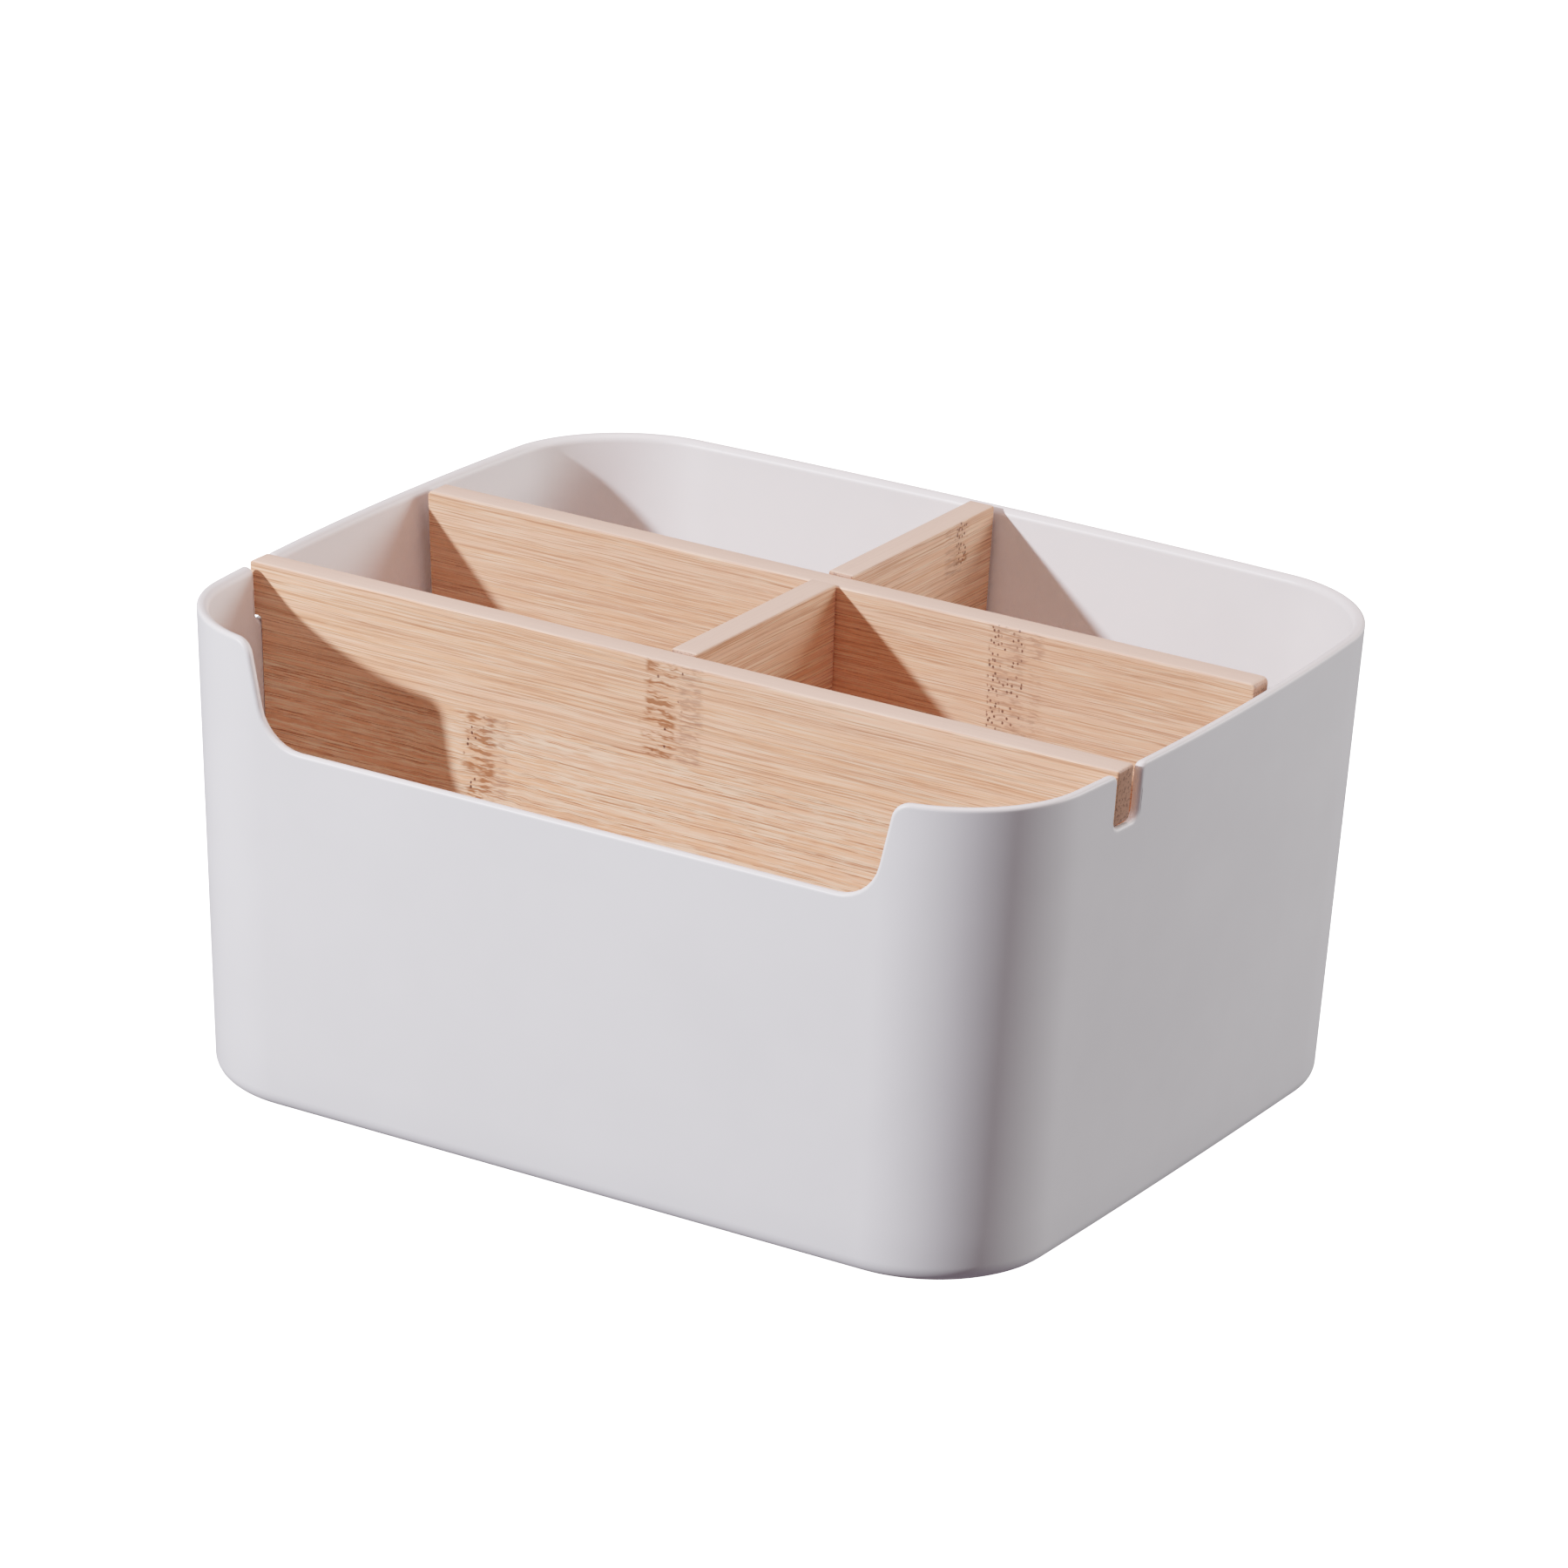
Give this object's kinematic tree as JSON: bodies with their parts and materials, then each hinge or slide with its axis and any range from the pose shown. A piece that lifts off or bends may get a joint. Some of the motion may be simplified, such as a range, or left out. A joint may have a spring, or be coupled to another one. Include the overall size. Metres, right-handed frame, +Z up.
{
  "type": "compartment storage box",
  "caption": "Open-topped rounded tray with a wide cut-out in its front wall, divided into compartments by lift-out wooden boards.",
  "frame": {"origin": "middle of the tray's underside, on the surface the box stands on", "axes": "+X to the right along the box's length, +Y from the cut-out front to the back, +Z up"},
  "size_m": [0.2598, 0.2067, 0.1271],
  "materials": {
    "white_plastic": "satin white moulded plastic with a faint fine grain",
    "bamboo": "smooth natural bamboo strips, edge glued, with a thin clear coat"
  },
  "bodies": {
    "tray": {"tray": "white_plastic"},
    "front_divider": {"front_divider": "bamboo"},
    "cross_divider": {"cross_divider": "bamboo"},
    "long_divider": {"long_divider": "bamboo"}
  },
  "joints": [
    {"name": "front_lift", "type": "slide", "parent": "tray", "child": "front_divider", "axis": [0, 0, 1], "range_m": [0, 0.126]},
    {"name": "cross_lift", "type": "slide", "parent": "tray", "child": "cross_divider", "axis": [0, 0, 1], "range_m": [0, 0.126]},
    {"name": "long_lift", "type": "slide", "parent": "cross_divider", "child": "long_divider", "axis": [0, 0, 1], "range_m": [0, 0.126]}
  ]
}
